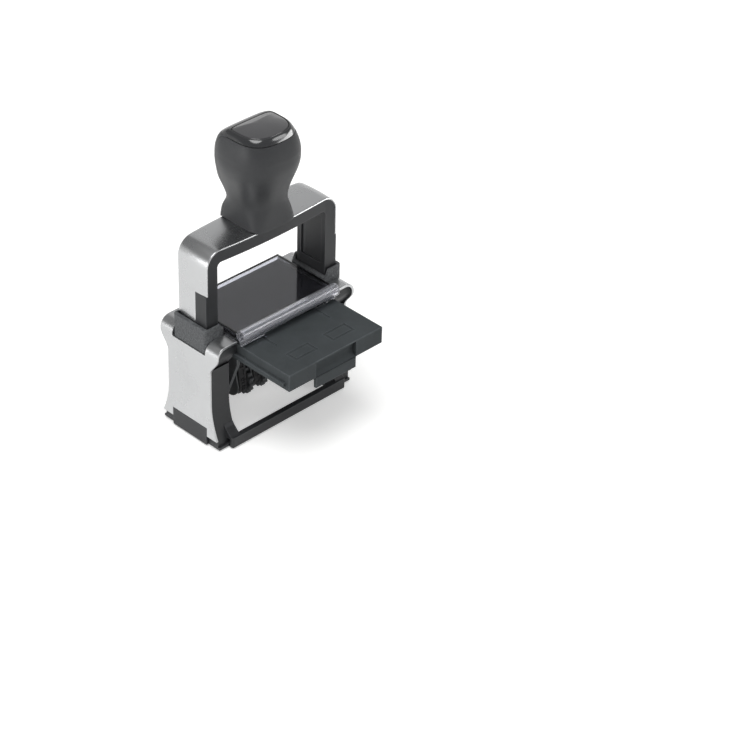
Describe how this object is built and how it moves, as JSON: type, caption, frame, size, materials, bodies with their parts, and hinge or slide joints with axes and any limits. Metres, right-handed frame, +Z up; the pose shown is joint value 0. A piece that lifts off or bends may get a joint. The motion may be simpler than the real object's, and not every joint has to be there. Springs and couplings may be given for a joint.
{
  "type": "self-inking date stamp",
  "caption": "Self-inking date stamp: a sprung metal bow with a knob presses a flip-over type block with date wheels, and an ink tray slides out of its metal frame.",
  "frame": {"origin": "on the table under the middle of the base", "axes": "+Z up along the press axis; +X along the flip axis, to the right seen from the tray side; the ink tray slides out towards -Y"},
  "size_m": [0.0858, 0.0733, 0.1484],
  "materials": {
    "black_plastic": "satin moulded black",
    "textured_plastic": "fine grained dark grey",
    "grey_plastic": "soft satin dark grey",
    "gloss_plastic": "glossy near black",
    "tray_plastic": "satin slate grey",
    "block_plastic": "satin grey",
    "satin_steel": "satin sheet",
    "zinc_steel": "bright zinc",
    "clear_plastic": "clear glossy",
    "dark_card": "dark card",
    "black_rubber": "matte",
    "die_rubber": "matte red-brown",
    "band_rubber": "matte black",
    "inked_felt": "felt soaked in dark ink"
  },
  "bodies": {
    "frame": {"base_frame": "black_plastic", "base_pad": "black_rubber", "base_screws": "zinc_steel", "left_side_frame": "black_plastic", "right_side_frame": "black_plastic", "left_side_shell": "satin_steel", "right_side_shell": "satin_steel", "left_leg_guide": "textured_plastic", "right_leg_guide": "textured_plastic", "top_deck": "black_plastic", "index_card": "dark_card", "index_window": "clear_plastic", "left_spring_rod": "zinc_steel", "right_spring_rod": "zinc_steel", "left_return_spring": "zinc_steel", "right_return_spring": "zinc_steel"},
    "bow": {"bow_strip": "satin_steel", "bow_yoke": "black_plastic", "strip_studs": "zinc_steel", "knob_screw": "zinc_steel", "knob_front_shell": "grey_plastic", "knob_back_shell": "grey_plastic", "knob_cap": "gloss_plastic", "left_pivot_pin": "zinc_steel", "right_pivot_pin": "zinc_steel"},
    "block": {"left_block_plate": "block_plastic", "right_block_plate": "block_plastic", "left_flip_pin": "zinc_steel", "right_flip_pin": "zinc_steel", "die_carrier": "block_plastic", "text_die": "die_rubber", "band_nose": "black_plastic", "wheel_axle": "zinc_steel", "wheel_dividers": "block_plastic", "detent_leaf": "zinc_steel", "day_tens_band": "band_rubber", "day_units_band": "band_rubber", "month_band": "band_rubber", "year_band": "band_rubber"},
    "tray": {"pad_tray": "tray_plastic", "ink_pad": "inked_felt"},
    "day_tens_wheel": {"day_tens_wheel": "block_plastic"},
    "day_units_wheel": {"day_units_wheel": "block_plastic"},
    "month_wheel": {"month_wheel": "block_plastic"},
    "year_wheel": {"year_wheel": "block_plastic"}
  },
  "joints": [
    {"name": "bow_press", "type": "slide", "parent": "frame", "child": "bow", "axis": [0, 0, -1], "range_m": [0, 0.0325], "stiffness_N_per_m": 300, "springref_m": -0.03, "deforming": ["left_return_spring", "right_return_spring"]},
    {"name": "block_flip", "type": "hinge", "parent": "bow", "child": "block", "pos_m": [0, 0, 0.038], "axis": [1, 0, 0], "range_deg": [0, 180]},
    {"name": "tray_slide", "type": "slide", "parent": "frame", "child": "tray", "axis": [0, -1, 0], "range_m": [-0.032, 0.006]},
    {"name": "day_tens_turn", "type": "hinge", "parent": "block", "child": "day_tens_wheel", "pos_m": [0, 0, 0.0175], "axis": [1, 0, 0], "continuous": true},
    {"name": "day_units_turn", "type": "hinge", "parent": "block", "child": "day_units_wheel", "pos_m": [0, 0, 0.0175], "axis": [1, 0, 0], "continuous": true},
    {"name": "month_turn", "type": "hinge", "parent": "block", "child": "month_wheel", "pos_m": [0, 0, 0.0175], "axis": [1, 0, 0], "continuous": true},
    {"name": "year_turn", "type": "hinge", "parent": "block", "child": "year_wheel", "pos_m": [0, 0, 0.0175], "axis": [1, 0, 0], "continuous": true}
  ],
  "couplings": [
    {"joint": "block_flip", "follows": "bow_press", "rad_per_m": 96.664}
  ]
}
